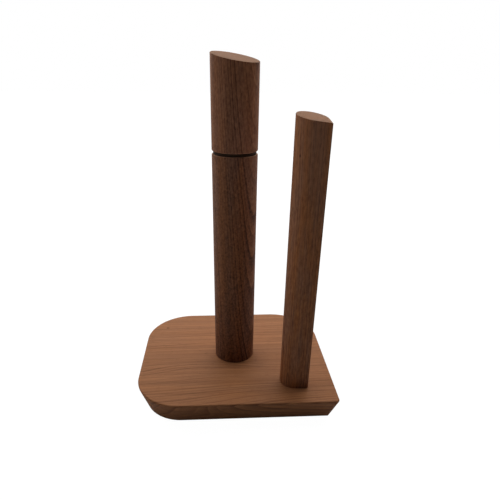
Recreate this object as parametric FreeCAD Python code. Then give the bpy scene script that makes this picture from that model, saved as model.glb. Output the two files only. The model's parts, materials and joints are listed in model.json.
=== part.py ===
import FreeCAD, Part
import math
import os

# A free-standing paper towel holder in walnut.
#
# A board with three round corners and one crisp corner carries a round post for the roll and, beside
# the crisp corner, a thinner tear arm that has the board's own outline: round, with one square corner.
# The post's upper section is a separate cap with a slanted top. It stands on a thin dark ring, turns on
# a steel stud in a brass ferrule, and lifts off. Screws from below hold the post and the arm.
#
# Millimetres. +Z is up, +X is to the right and -Y is the front, where the crisp corner is on the right.
# The origin is on the surface that the feet stand on, below the middle of the board.

# ---- The board: its outline is that of the upper edge before the edge is eased ----
BOARD_WIDTH = 181.6
BOARD_DEPTH = 154.0
BOARD_THICKNESS = 22.2
BACK_CORNER_RADIUS = 46.5   # the two round corners at the back, at the board's top
FRONT_CORNER_RADIUS = 42.0  # the round corner at the front left
CRISP_RADIUS = 4.5          # the front right corner, at the board's top
CRISP_RADIUS_BELOW = 1.4    # the same corner at the underside
UNDERCUT = 7.4              # how far the underside is set in from the top, all round
BOARD_TOP_EASING = 1.2
BOARD_LOWER_EASING = 0.8

# ---- The feet ----
FOOT_RADIUS = 7.0
FOOT_STAND_OFF = 1.2        # how far the board is held clear of the surface
FOOT_POCKET = 1.5
FOOT_EASING = 0.3
FOOT_FROM_ARC_CENTRE = 24.0 # along the diagonal of each round corner
FOOT_FROM_CRISP_EDGES = 12.5

# ---- The post and its cap ----
POST_RADIUS = 19.0
POST_X = 0.8
POST_Y = 2.5
POST_LENGTH = 196.4         # from the board's top to the dark gap
GAP = 2.5
CAP_CENTRE_LENGTH = 68.2    # on the axis, from the gap to the slanted top
CAP_SLANT = 12.3            # degrees from level
CAP_SLANT_TOWARDS = -45.0   # degrees from +X: the top falls towards the crisp corner
POST_RIM_EASING = 0.5       # the post's rim, below the gap
CAP_RIM_EASING = 1.2        # the cap's rim, above the gap
TOP_EASING = 0.5            # the slanted tops

# ---- The tear arm ----
ARM_RADIUS = 12.0
ARM_X = 53.2
ARM_Y = -44.9
ARM_CENTRE_LENGTH = 229.8
ARM_SLANT = 11.8
ARM_SLANT_TOWARDS = -52.0
ARM_EDGE_EASING = 0.6

# ---- The cap's stud, ring, ferrule and insert ----
STUD_RADIUS = 5.0
STUD_IN_POST = 32.0
STUD_IN_CAP = 20.0
STUD_TIP_CHAMFER = 1.0
RING_RADIUS = 17.8
FERRULE_RADIUS = 7.0
FERRULE_LENGTH = 36.0
CAP_INSERT_RADIUS = 7.5
CAP_INSERT_LENGTH = 18.0
RUNNING_CLEARANCE = 0.05    # radial, where the stud turns in the ferrule
GLUE_LINE = 0.05            # radial, between a fixed fitting and its hole

# ---- Screws from below: thread radius, head radius, head height, hex key, washer, insert, hole ----
POST_FIXING = {
    "x": POST_X, "y": POST_Y, "thread": 4.0, "head": 7.0, "head_height": 4.4, "hex": 5.0,
    "washer": 8.0, "insert": 6.2, "insert_length": 18.0, "counterbore": 9.0, "counterbore_depth": 8.0,
    "dowel": 3.0, "dowel_in_board": 11.0, "dowel_in_stick": 13.0, "dowel_offset": 13.0, "dowel_angle": 90.0,
}
ARM_FIXING = {
    "x": ARM_X, "y": ARM_Y, "thread": 3.0, "head": 5.25, "head_height": 3.3, "hex": 4.0,
    "washer": 6.0, "insert": 5.0, "insert_length": 15.0, "counterbore": 7.0, "counterbore_depth": 7.0,
    "dowel": 2.5, "dowel_in_board": 10.0, "dowel_in_stick": 12.0, "dowel_offset": 10.0, "dowel_angle": -45.0,
}
WASHER_THICKNESS = 1.6
SCREW_CLEARANCE = 0.4       # radial, in the board and in the washer
SCREW_HOLE_SPARE = 2.0      # how much deeper a hole is than the screw or stud in it
INSERT_RECESS = 0.5         # an insert sits this far inside its wood
HEX_DEPTH_SHARE = 0.55      # of the screw head's height
HEAD_CROWN_SHARE = 0.35     # of the screw head's height is rounded over

# ---- Levels ----
UNDERSIDE_Z = FOOT_STAND_OFF
BOARD_TOP_Z = UNDERSIDE_Z + BOARD_THICKNESS
POST_TOP_Z = BOARD_TOP_Z + POST_LENGTH
CAP_FOOT_Z = POST_TOP_Z + GAP
CAP_CENTRE_Z = CAP_FOOT_Z + CAP_CENTRE_LENGTH
ARM_CENTRE_Z = BOARD_TOP_Z + ARM_CENTRE_LENGTH
TALL = 400.0                # longer than any piece, for cutting tools

UP = FreeCAD.Vector(0, 0, 1)


def rod(x, y, low, high, radius):
    """A plain upright cylinder between two levels."""
    return Part.makeCylinder(radius, high - low, FreeCAD.Vector(x, y, low), UP)


def tube(x, y, low, high, outer, inner):
    """An upright sleeve between two levels."""
    return rod(x, y, low, high, outer).cut(rod(x, y, low, high, inner))


def corner_arc(x, y, radius, start_degrees, z):
    """A quarter circle about (x, y), clockwise from a direction given in degrees from +X."""
    angles = [math.radians(start_degrees - turn) for turn in (0.0, 45.0, 90.0)]
    points = [FreeCAD.Vector(x + radius * math.cos(a), y + radius * math.sin(a), z) for a in angles]
    return Part.Arc(points[0], points[1], points[2]).toShape()


def board_outline(inset, crisp_radius, z):
    """The board's outline at one level: a rectangle with three large round corners and one small one."""
    half_x = BOARD_WIDTH / 2 - inset
    half_y = BOARD_DEPTH / 2 - inset
    back = BACK_CORNER_RADIUS - inset
    front = FRONT_CORNER_RADIUS - inset
    arcs = [
        corner_arc(half_x - back, half_y - back, back, 90.0, z),
        corner_arc(half_x - crisp_radius, crisp_radius - half_y, crisp_radius, 0.0, z),
        corner_arc(front - half_x, front - half_y, front, -90.0, z),
        corner_arc(back - half_x, half_y - back, back, -180.0, z),
    ]
    edges = []
    for this, following in zip(arcs, arcs[1:] + arcs[:1]):
        edges.append(this)
        edges.append(Part.makeLine(this.lastVertex(True).Point, following.firstVertex(True).Point))
    return Part.Wire(edges)


def foot_places():
    """The four feet: their names and centres."""
    out = FOOT_FROM_ARC_CENTRE * math.sqrt(0.5)
    front_x = BOARD_WIDTH / 2 - FRONT_CORNER_RADIUS + out
    front_y = BOARD_DEPTH / 2 - FRONT_CORNER_RADIUS + out
    back_x = BOARD_WIDTH / 2 - BACK_CORNER_RADIUS + out
    back_y = BOARD_DEPTH / 2 - BACK_CORNER_RADIUS + out
    crisp_x = BOARD_WIDTH / 2 - UNDERCUT - FOOT_FROM_CRISP_EDGES
    crisp_y = BOARD_DEPTH / 2 - UNDERCUT - FOOT_FROM_CRISP_EDGES
    return {
        "foot_front_left": (-front_x, -front_y),
        "foot_front_right": (crisp_x, -crisp_y),
        "foot_back_left": (-back_x, back_y),
        "foot_back_right": (back_x, back_y),
    }


def edges_at(shape, z):
    """The edges that lie level at one height."""
    return [e for e in shape.Edges if abs(e.BoundBox.ZMin - z) < 0.01 and abs(e.BoundBox.ZMax - z) < 0.01]


def dowel_place(fixing):
    """Where a fixing's anti-turn dowel stands."""
    angle = math.radians(fixing["dowel_angle"])
    x = fixing["x"] + fixing["dowel_offset"] * math.cos(angle)
    y = fixing["y"] + fixing["dowel_offset"] * math.sin(angle)
    return x, y


def slanted_top(shape, x, y, centre_z, slant, towards):
    """Cuts a stick off along a plane through its axis at centre_z that falls the given way."""
    block = Part.makeBox(TALL, TALL, TALL, FreeCAD.Vector(-TALL / 2, -TALL / 2, 0))
    tilt = FreeCAD.Rotation(FreeCAD.Vector(0, 1, 0), slant)
    turn = FreeCAD.Rotation(UP, towards)
    block.Placement = FreeCAD.Placement(FreeCAD.Vector(x, y, centre_z), turn.multiply(tilt))
    return shape.cut(block)


def sloping_edges(shape, low):
    """The edges round a slanted top: they are all above low and aren't upright."""
    found = []
    for edge in shape.Edges:
        box = edge.BoundBox
        upright = max(box.XLength, box.YLength) < 0.01
        if box.ZMin > low and not upright:
            found.append(edge)
    return found


# ---- Wooden pieces ----

def base_board():
    """A slab whose sides lean in to a smaller underside, bored from below for screws, dowels and feet."""
    under = board_outline(UNDERCUT, CRISP_RADIUS_BELOW, UNDERSIDE_Z)
    over = board_outline(0.0, CRISP_RADIUS, BOARD_TOP_Z)
    slab = Part.makeLoft([under, over], True, True)
    slab = slab.makeFillet(BOARD_TOP_EASING, edges_at(slab, BOARD_TOP_Z))
    slab = slab.makeFillet(BOARD_LOWER_EASING, edges_at(slab, UNDERSIDE_Z))
    for fixing in (POST_FIXING, ARM_FIXING):
        x, y = fixing["x"], fixing["y"]
        shoulder = UNDERSIDE_Z + fixing["counterbore_depth"]
        slab = slab.cut(rod(x, y, UNDERSIDE_Z - 1.0, shoulder, fixing["counterbore"]))
        slab = slab.cut(rod(x, y, UNDERSIDE_Z, BOARD_TOP_Z + 1.0, fixing["thread"] + SCREW_CLEARANCE))
        dowel_x, dowel_y = dowel_place(fixing)
        bottom = BOARD_TOP_Z - fixing["dowel_in_board"]
        slab = slab.cut(rod(dowel_x, dowel_y, bottom, BOARD_TOP_Z + 1.0, fixing["dowel"] + GLUE_LINE))
    for x, y in foot_places().values():
        slab = slab.cut(rod(x, y, UNDERSIDE_Z - 1.0, UNDERSIDE_Z + FOOT_POCKET, FOOT_RADIUS + GLUE_LINE))
    return slab


def bored_end(stick, fixing):
    """Bores the lower end of the post or of the arm for its insert, its screw and its dowel."""
    x, y = fixing["x"], fixing["y"]
    insert_top = BOARD_TOP_Z + INSERT_RECESS + fixing["insert_length"]
    stick = stick.cut(rod(x, y, BOARD_TOP_Z - 1.0, insert_top, fixing["insert"] + GLUE_LINE))
    screw_room = rod(x, y, BOARD_TOP_Z, insert_top + SCREW_HOLE_SPARE, fixing["thread"] + SCREW_CLEARANCE)
    stick = stick.cut(screw_room)
    dowel_x, dowel_y = dowel_place(fixing)
    dowel_top = BOARD_TOP_Z + fixing["dowel_in_stick"]
    return stick.cut(rod(dowel_x, dowel_y, BOARD_TOP_Z - 1.0, dowel_top, fixing["dowel"] + GLUE_LINE))


def roll_post():
    """The round post that the roll stands on, up to the dark gap."""
    post = rod(POST_X, POST_Y, BOARD_TOP_Z, POST_TOP_Z, POST_RADIUS)
    post = post.makeFillet(POST_RIM_EASING, edges_at(post, POST_TOP_Z))
    post = bored_end(post, POST_FIXING)
    ferrule_foot = POST_TOP_Z - FERRULE_LENGTH
    return post.cut(rod(POST_X, POST_Y, ferrule_foot, POST_TOP_Z + 1.0, FERRULE_RADIUS + GLUE_LINE))


def post_cap():
    """The post's upper section, with a slanted top and a blind hole for its insert and stud."""
    cap = rod(POST_X, POST_Y, CAP_FOOT_Z, CAP_CENTRE_Z + POST_RADIUS, POST_RADIUS)
    cap = slanted_top(cap, POST_X, POST_Y, CAP_CENTRE_Z, CAP_SLANT, CAP_SLANT_TOWARDS)
    cap = cap.makeFillet(CAP_RIM_EASING, edges_at(cap, CAP_FOOT_Z))
    cap = cap.makeFillet(TOP_EASING, sloping_edges(cap, CAP_FOOT_Z + POST_RADIUS))
    insert_top = CAP_FOOT_Z + INSERT_RECESS + CAP_INSERT_LENGTH
    cap = cap.cut(rod(POST_X, POST_Y, CAP_FOOT_Z - 1.0, insert_top, CAP_INSERT_RADIUS + GLUE_LINE))
    stud_top = CAP_FOOT_Z + STUD_IN_CAP + SCREW_HOLE_SPARE
    return cap.cut(rod(POST_X, POST_Y, CAP_FOOT_Z, stud_top, STUD_RADIUS + SCREW_CLEARANCE))


def tear_arm():
    """A stick with a round section, one quarter of it squared out to an upright edge, and a slanted top."""
    top = ARM_CENTRE_Z + ARM_RADIUS
    stick = rod(ARM_X, ARM_Y, BOARD_TOP_Z, top, ARM_RADIUS)
    corner = FreeCAD.Vector(ARM_X, ARM_Y - ARM_RADIUS, BOARD_TOP_Z)
    quarter = Part.makeBox(ARM_RADIUS, ARM_RADIUS, top - BOARD_TOP_Z, corner)
    stick = stick.fuse(quarter).removeSplitter()
    for edge in stick.Edges:
        middle = edge.BoundBox.Center
        if abs(middle.x - ARM_X - ARM_RADIUS) < 0.01 and abs(middle.y - ARM_Y + ARM_RADIUS) < 0.01:
            stick = stick.makeFillet(ARM_EDGE_EASING, [edge])
            break
    stick = slanted_top(stick, ARM_X, ARM_Y, ARM_CENTRE_Z, ARM_SLANT, ARM_SLANT_TOWARDS)
    stick = stick.makeFillet(TOP_EASING, sloping_edges(stick, ARM_CENTRE_Z - ARM_RADIUS))
    return bored_end(stick, ARM_FIXING)


# ---- The cap's fittings ----

def post_ferrule():
    """The brass sleeve that lines the hole in the post's top."""
    low = POST_TOP_Z - FERRULE_LENGTH
    return tube(POST_X, POST_Y, low, POST_TOP_Z, FERRULE_RADIUS, STUD_RADIUS + RUNNING_CLEARANCE)


def cap_insert():
    """The threaded insert in the cap's foot that the stud screws into."""
    low = CAP_FOOT_Z + INSERT_RECESS
    return tube(POST_X, POST_Y, low, low + CAP_INSERT_LENGTH, CAP_INSERT_RADIUS, STUD_RADIUS + GLUE_LINE)


def cap_stud():
    """The steel pin that stands out below the cap and turns in the ferrule, chamfered at both ends."""
    low = CAP_FOOT_Z - GAP - STUD_IN_POST
    high = CAP_FOOT_Z + STUD_IN_CAP
    stud = rod(POST_X, POST_Y, low, high, STUD_RADIUS)
    return stud.makeChamfer(STUD_TIP_CHAMFER, edges_at(stud, low) + edges_at(stud, high))


def spacer_ring():
    """The dark ring between the post and the cap. It is a little narrower than they are."""
    return tube(POST_X, POST_Y, POST_TOP_Z, CAP_FOOT_Z, RING_RADIUS, STUD_RADIUS + RUNNING_CLEARANCE)


# ---- Fixings from below ----

def threaded_insert(fixing):
    """The metal insert in the foot of the post or of the arm."""
    low = BOARD_TOP_Z + INSERT_RECESS
    return tube(fixing["x"], fixing["y"], low, low + fixing["insert_length"], fixing["insert"],
                fixing["thread"] + GLUE_LINE)


def flat_washer(fixing):
    """The washer under a screw's head."""
    high = UNDERSIDE_Z + fixing["counterbore_depth"]
    low = high - WASHER_THICKNESS
    return tube(fixing["x"], fixing["y"], low, high, fixing["washer"], fixing["thread"] + SCREW_CLEARANCE)


def button_screw(fixing):
    """A button-head screw with a hexagon socket, up through the board into its insert."""
    x, y = fixing["x"], fixing["y"]
    head_top = UNDERSIDE_Z + fixing["counterbore_depth"] - WASHER_THICKNESS
    head_low = head_top - fixing["head_height"]
    head = rod(x, y, head_low, head_top, fixing["head"])
    head = head.makeFillet(HEAD_CROWN_SHARE * fixing["head_height"], edges_at(head, head_low))
    tip = BOARD_TOP_Z + INSERT_RECESS + fixing["insert_length"]
    screw = head.fuse(rod(x, y, head_top, tip, fixing["thread"])).removeSplitter()
    across_corners = fixing["hex"] / math.sqrt(3)
    corners = [math.radians(60.0 * k) for k in range(7)]
    outline = [FreeCAD.Vector(x + across_corners * math.cos(a), y + across_corners * math.sin(a), head_low)
               for a in corners]
    socket = Part.Face(Part.makePolygon(outline)).extrude(UP * (HEX_DEPTH_SHARE * fixing["head_height"]))
    return screw.cut(socket)


def dowel_pin(fixing):
    """The beech dowel that stops the post or the arm from turning on its screw."""
    x, y = dowel_place(fixing)
    return rod(x, y, BOARD_TOP_Z - fixing["dowel_in_board"], BOARD_TOP_Z + fixing["dowel_in_stick"],
               fixing["dowel"])


def rubber_foot(x, y):
    """One foot, seated in its pocket, with its lower rim eased."""
    foot = rod(x, y, 0.0, UNDERSIDE_Z + FOOT_POCKET, FOOT_RADIUS)
    return foot.makeFillet(FOOT_EASING, edges_at(foot, 0.0))


def pieces():
    """Every piece by its name."""
    made = {
        "base_board": base_board(),
        "roll_post": roll_post(),
        "post_cap": post_cap(),
        "tear_arm": tear_arm(),
        "post_ferrule": post_ferrule(),
        "cap_insert": cap_insert(),
        "cap_stud": cap_stud(),
        "spacer_ring": spacer_ring(),
    }
    for owner, fixing in (("post", POST_FIXING), ("arm", ARM_FIXING)):
        made[owner + "_insert"] = threaded_insert(fixing)
        made[owner + "_washer"] = flat_washer(fixing)
        made[owner + "_screw"] = button_screw(fixing)
        made[owner + "_dowel"] = dowel_pin(fixing)
    for name, (x, y) in foot_places().items():
        made[name] = rubber_foot(x, y)
    return made


os.makedirs("parts", exist_ok=True)
for node, shape in pieces().items():
    solid = shape.Solids[0] if len(shape.Solids) == 1 else shape
    print(node, "solids", len(shape.Solids), "valid", shape.isValid(), "volume", round(shape.Volume, 1))
    solid.exportStep("parts/" + node + ".step")
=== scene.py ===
"""A free-standing paper towel holder in walnut, laid out as an add-on.

A board with three round corners and one crisp corner carries a round post with a separate cap, and a
slanted tear arm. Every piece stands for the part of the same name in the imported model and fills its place.
"""

import json
import math

import bmesh
import bpy
import numpy as np
from bpy.props import FloatProperty, FloatVectorProperty, PointerProperty
from mathutils import Euler, Matrix, Vector

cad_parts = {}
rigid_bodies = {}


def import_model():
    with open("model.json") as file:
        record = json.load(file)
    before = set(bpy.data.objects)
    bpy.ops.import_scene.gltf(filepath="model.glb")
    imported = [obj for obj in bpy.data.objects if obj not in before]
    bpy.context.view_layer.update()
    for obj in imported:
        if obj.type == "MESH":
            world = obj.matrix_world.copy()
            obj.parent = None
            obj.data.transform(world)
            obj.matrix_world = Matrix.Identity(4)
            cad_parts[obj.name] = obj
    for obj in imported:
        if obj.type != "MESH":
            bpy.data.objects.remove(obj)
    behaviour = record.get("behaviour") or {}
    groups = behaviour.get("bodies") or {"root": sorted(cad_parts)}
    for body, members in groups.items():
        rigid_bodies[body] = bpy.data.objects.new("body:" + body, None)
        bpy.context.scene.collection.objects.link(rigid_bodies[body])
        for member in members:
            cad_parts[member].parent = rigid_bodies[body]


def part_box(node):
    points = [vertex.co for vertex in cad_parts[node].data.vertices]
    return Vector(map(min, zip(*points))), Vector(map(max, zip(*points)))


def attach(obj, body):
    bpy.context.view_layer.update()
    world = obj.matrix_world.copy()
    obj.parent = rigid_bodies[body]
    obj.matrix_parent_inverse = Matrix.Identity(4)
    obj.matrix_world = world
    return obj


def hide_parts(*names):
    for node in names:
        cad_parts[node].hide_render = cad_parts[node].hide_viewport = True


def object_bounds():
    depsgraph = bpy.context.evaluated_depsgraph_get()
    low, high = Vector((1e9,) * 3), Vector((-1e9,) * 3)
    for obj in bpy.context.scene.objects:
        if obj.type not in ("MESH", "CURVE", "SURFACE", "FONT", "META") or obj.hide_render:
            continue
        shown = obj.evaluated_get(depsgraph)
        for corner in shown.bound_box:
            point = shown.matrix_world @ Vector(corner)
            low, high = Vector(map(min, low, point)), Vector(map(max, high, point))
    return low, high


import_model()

bl_info = {
    "name": "Walnut Paper Towel Holder",
    "version": (1, 0, 0),
    "blender": (4, 5, 0),
    "location": "View3D > Sidebar > Towel Holder",
    "description": "Builds a walnut paper towel holder piece by piece around its packed model",
    "category": "Add Mesh",
}

CAD_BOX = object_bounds()
MM = 0.001
HOLDER, SPACER, CAP = "holder", "spacer", "cap"
FEET = ("foot_front_left", "foot_front_right", "foot_back_left", "foot_back_right")
CIRCLE_COLUMNS = 192    # round the wooden pieces
FITTING_COLUMNS = 96    # round the fittings and the holes
SHARP_ANGLE = math.radians(28.0)
FIT = 0.05 * MM         # room round a piece in its hole
DEEPER = 2.0 * MM       # how far a hole in a stick goes on past its piece, or past the end that it opens
PAST_BOARD = 1.0 * MM   # how far the tools that bore the board reach past its faces


# ---- Sizes and colours that a user would change ----

def length(name, description, millimetres):
    """A length property in metres."""
    return FloatProperty(name=name, description=description, default=millimetres * MM, min=0.0,
                         unit="LENGTH", subtype="DISTANCE", precision=5)


def colour(name, description, value):
    """A colour property, in linear light."""
    return FloatVectorProperty(name=name, description=description, default=value, size=3, min=0.0, max=1.0,
                               subtype="COLOR")


def tilt(name, description, degrees):
    """An angle property, in radians."""
    return FloatProperty(name=name, description=description, default=math.radians(degrees),
                         subtype="ANGLE", unit="ROTATION")


def share(name, description, value, most=1.0):
    """A plain factor."""
    return FloatProperty(name=name, description=description, default=value, min=0.0, max=most)


class TowelHolderBoard(bpy.types.PropertyGroup):
    """The board's corners and edges."""
    back_radius: length("Back radius", "The two round corners at the back, at the upper edge", 46.5)
    front_radius: length("Front radius", "The round corner at the front left, at the upper edge", 42.0)
    crisp_radius: length("Crisp radius", "The front right corner, at the upper edge", 4.5)
    crisp_radius_below: length("Crisp radius below", "The front right corner, at the underside", 1.4)
    undercut: length("Undercut", "How far the underside is set in from the upper edge", 7.4)
    top_easing: length("Top easing", "Rounding of the upper edge", 1.2)
    lower_easing: length("Lower easing", "Rounding of the lower edge", 0.8)


class TowelHolderSticks(bpy.types.PropertyGroup):
    """The post, its cap and the tear arm."""
    post_rim: length("Post rim", "Rounding of the post's rim below the gap", 0.5)
    cap_rim: length("Cap rim", "Rounding of the cap's rim above the gap", 1.2)
    top_easing: length("Top easing", "Rounding round the slanted tops", 0.5)
    arm_edge: length("Arm edge", "Rounding of the arm's one upright edge", 0.6)
    cap_slant: tilt("Cap slant", "Slant of the cap's top from level", 12.3)
    cap_towards: tilt("Cap falls towards", "Turn from +X of the way that the cap's top falls", -45.0)
    arm_slant: tilt("Arm slant", "Slant of the arm's top from level", 11.8)
    arm_towards: tilt("Arm falls towards", "Turn from +X of the way that the arm's top falls", -52.0)


class TowelHolderWood(bpy.types.PropertyGroup):
    """The walnut's colours and figure."""
    light: colour("Light", "Colour of the lightest wood", (0.430, 0.182, 0.077))
    dark: colour("Dark", "Colour of the darkest wood", (0.080, 0.031, 0.015))
    # painted sheen and top light: the pale colour that the end grain, the sticks' slanted tops among it, is
    # mixed towards
    cut: colour("Cut ends", "Colour that the cut ends take on", (0.520, 0.315, 0.195))
    pore: colour("Pores", "Colour inside the open pores", (0.050, 0.021, 0.011))
    rings: share("Rings", "How dark the ring lines are", 0.42)
    streaks: share("Streaks", "How strong the long streaks are", 0.60)
    fibres: share("Fibres", "How strong the fine fibres are", 0.55)
    mottle: share("Mottle", "How strong the short patches are", 0.60)
    roughness: share("Roughness", "Roughness of the oiled surface", 0.58)


class TowelHolderFittings(bpy.types.PropertyGroup):
    """The colours of everything but the walnut."""
    steel: colour("Steel", "Colour of the screws, the washers and the stud", (0.56, 0.57, 0.58))
    brass: colour("Brass", "Colour of the ferrule and the inserts", (0.72, 0.50, 0.20))
    # partly the ring's own colour and partly painted shade: the dark brown of the shaded gap
    nylon: colour("Nylon", "Colour of the ring in the gap", (0.045, 0.025, 0.014))
    rubber: colour("Rubber", "Colour of the feet", (0.035, 0.034, 0.033))
    beech: colour("Beech", "Colour of the dowels", (0.600, 0.420, 0.260))


class TowelHolderStage(bpy.types.PropertyGroup):
    """The camera and the light."""
    focal_length: FloatProperty(name="Focal length", description="Lens, in millimetres on a 36 mm sensor",
                                default=31.13, min=1.0)
    eye: FloatVectorProperty(name="Eye", description="Where the camera stands", size=3, unit="LENGTH",
                             default=(-0.01408, -0.36298, 0.28152), subtype="TRANSLATION")
    look_down: tilt("Look down", "Tilt below the horizon", 26.383)
    look_right: tilt("Look right", "Turn away from +Y to the right", 3.195)
    lean: tilt("Lean", "Roll of the camera to the left", 0.51)
    shift_x: FloatProperty(name="Shift across", description="Sideways lens shift", default=0.01934)
    shift_y: FloatProperty(name="Shift up", description="Upward lens shift", default=0.06838)
    brightness: share("Brightness", "Multiplies every panel", 1.0, 100.0)
    floor_tone: colour("Floor tone", "The light that the floor gives back to the holder", (0.66, 0.68, 0.74))


# ---- Surfaces ----

def eased_profile(corners, steps=8):
    """A profile of (out, up) points through corners of (out, up, radius).

    Each corner is replaced by the arc that touches both of its runs: the centre is on their bisector,
    at the radius divided by the sine of half the angle between them.
    """
    points = [np.array(corners[0][:2])]
    for before, (out, up, radius), after in zip(corners, corners[1:], corners[2:]):
        corner = np.array((out, up))
        if radius == 0.0:
            points.append(corner)
            continue
        back = np.array(before[:2]) - corner
        ahead = np.array(after[:2]) - corner
        back /= np.linalg.norm(back)
        ahead /= np.linalg.norm(ahead)
        half = math.acos(float(back @ ahead)) / 2
        bisector = (back + ahead) / np.linalg.norm(back + ahead)
        centre = corner + bisector * radius / math.sin(half)
        start = corner + back * radius / math.tan(half) - centre
        end = corner + ahead * radius / math.tan(half) - centre
        sweep = math.pi - 2 * half
        along = np.linspace(0.0, 1.0, steps + 1)[:, None]
        arc = (np.sin((1 - along) * sweep) * start + np.sin(along * sweep) * end) / math.sin(sweep)
        points.extend(centre + arc)
    points.append(np.array(corners[-1][:2]))
    return np.array(points)


def outline(half_x, half_y, radii, columns):
    """Rounded rectangles, one for each row: rows by columns by (x, y), counter-clockwise from the right.

    Each corner is a quarter arc about the point that is its radius in from both sides. radii is rows by
    four: back right, back left, front left, front right.
    """
    quarter = np.linspace(0.0, math.pi / 2, columns // 4)
    rings = []
    for k, (side_x, side_y) in enumerate(((1, 1), (-1, 1), (-1, -1), (1, -1))):
        radius = radii[:, k, None]
        angle = quarter[None, :] + k * math.pi / 2
        x = side_x * (half_x[:, None] - radius) + radius * np.cos(angle)
        y = side_y * (half_y[:, None] - radius) + radius * np.sin(angle)
        rings.append(np.stack((x, y), axis=-1))
    return np.concatenate(rings, axis=1)


def circles(radius, up, centre, columns=CIRCLE_COLUMNS):
    """Level rings about an upright axis. radius is one number for each row, or rows by columns."""
    radius = np.asarray(radius, float)
    if radius.ndim == 1:
        radius = np.repeat(radius[:, None], columns, axis=1)
    angle = turn_angles(columns)[None, :]
    height = np.broadcast_to(np.asarray(up, float)[:, None], radius.shape)
    return np.stack((centre[0] + radius * np.cos(angle), centre[1] + radius * np.sin(angle), height), axis=-1)


def turn_angles(columns=CIRCLE_COLUMNS):
    """The angles of a ring's columns, counter-clockwise from +X."""
    return np.arange(columns) * (2 * math.pi / columns)


def skin(name, rings, loop=False):
    """A closed mesh through rings of points: rows by columns by 3, each ring counter-clockwise from above.

    Neighbouring rings are joined by four-sided faces. Unless the rings loop, the first and the last are
    closed by fans to their middles.
    """
    levels, columns = rings.shape[:2]
    column = np.arange(columns)
    following = (column + 1) % columns
    row = np.arange(levels if loop else levels - 1)[:, None]
    above = (row + 1) % levels
    quads = np.stack((row * columns + column, row * columns + following,
                      above * columns + following, above * columns + column), axis=-1)
    points = rings.reshape(-1, 3)
    faces = quads.reshape(-1, 4).tolist()
    if not loop:
        low, high = levels * columns, levels * columns + 1
        points = np.concatenate((points, rings[[0, -1]].mean(axis=1)))
        last = (levels - 1) * columns
        faces += np.stack((np.full(columns, low), following, column), axis=-1).tolist()
        faces += np.stack((np.full(columns, high), last + column, last + following), axis=-1).tolist()
    mesh = bpy.data.meshes.new(name)
    mesh.from_pydata(points.tolist(), [], faces)
    return merged(mesh)


def merged(mesh):
    """Joins points that fall on each other, drops faces with no area, and shades by angle."""
    made = bmesh.new()
    made.from_mesh(mesh)
    bmesh.ops.remove_doubles(made, verts=made.verts, dist=1e-7)
    bmesh.ops.dissolve_degenerate(made, edges=made.edges, dist=1e-8)
    made.to_mesh(mesh)
    made.free()
    shade(mesh)
    return mesh


def shade(mesh):
    """Smooth shading that stays sharp at hard edges."""
    mesh.shade_smooth()
    mesh.set_sharp_from_angle(angle=SHARP_ANGLE)


def place(name, mesh, body, finish):
    """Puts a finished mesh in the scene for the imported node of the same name."""
    piece = bpy.data.objects.new(name + "_shown", mesh)
    bpy.context.scene.collection.objects.link(piece)
    mesh.materials.clear()
    mesh.materials.append(finish)
    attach(piece, body)
    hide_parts(name)
    return piece


def bored(mesh, holes):
    """Cuts upright holes. A hole is its centre and its steps of (radius, lowest, highest)."""
    scene = bpy.context.scene
    blank = bpy.data.objects.new("blank", mesh)
    scene.collection.objects.link(blank)
    cutters = bpy.data.collections.new("cutters")
    scene.collection.children.link(cutters)
    for number, (centre, steps) in enumerate(holes):
        radius = np.repeat([step[0] for step in steps], 2)
        up = np.array([step[1:] for step in steps]).ravel()
        rings = circles(radius, up, centre, FITTING_COLUMNS)
        tool = bpy.data.objects.new(f"cutter_{number}", skin("cutter", rings))
        cutters.objects.link(tool)
    cut = blank.modifiers.new("holes", "BOOLEAN")
    cut.operation = "DIFFERENCE"
    cut.solver = "EXACT"
    cut.operand_type = "COLLECTION"
    cut.collection = cutters
    depsgraph = bpy.context.evaluated_depsgraph_get()
    result = bpy.data.meshes.new_from_object(blank.evaluated_get(depsgraph))
    for tool in list(cutters.objects):
        bpy.data.objects.remove(tool)
    bpy.data.collections.remove(cutters)
    bpy.data.objects.remove(blank)
    return merged(result)


def middle(node):
    """The (x, y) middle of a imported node."""
    low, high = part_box(node)
    return (low.x + high.x) / 2, (low.y + high.y) / 2


def radius_of(node):
    """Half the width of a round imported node."""
    low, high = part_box(node)
    return (high.x - low.x) / 2


def hole_for(node, up=0.0, down=0.0):
    """A step of a hole that a packed round node fits, with a little room round it and more above or below."""
    low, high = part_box(node)
    return (radius_of(node) + FIT, low.z - down, high.z + up)


# ---- Finishes ----

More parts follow.
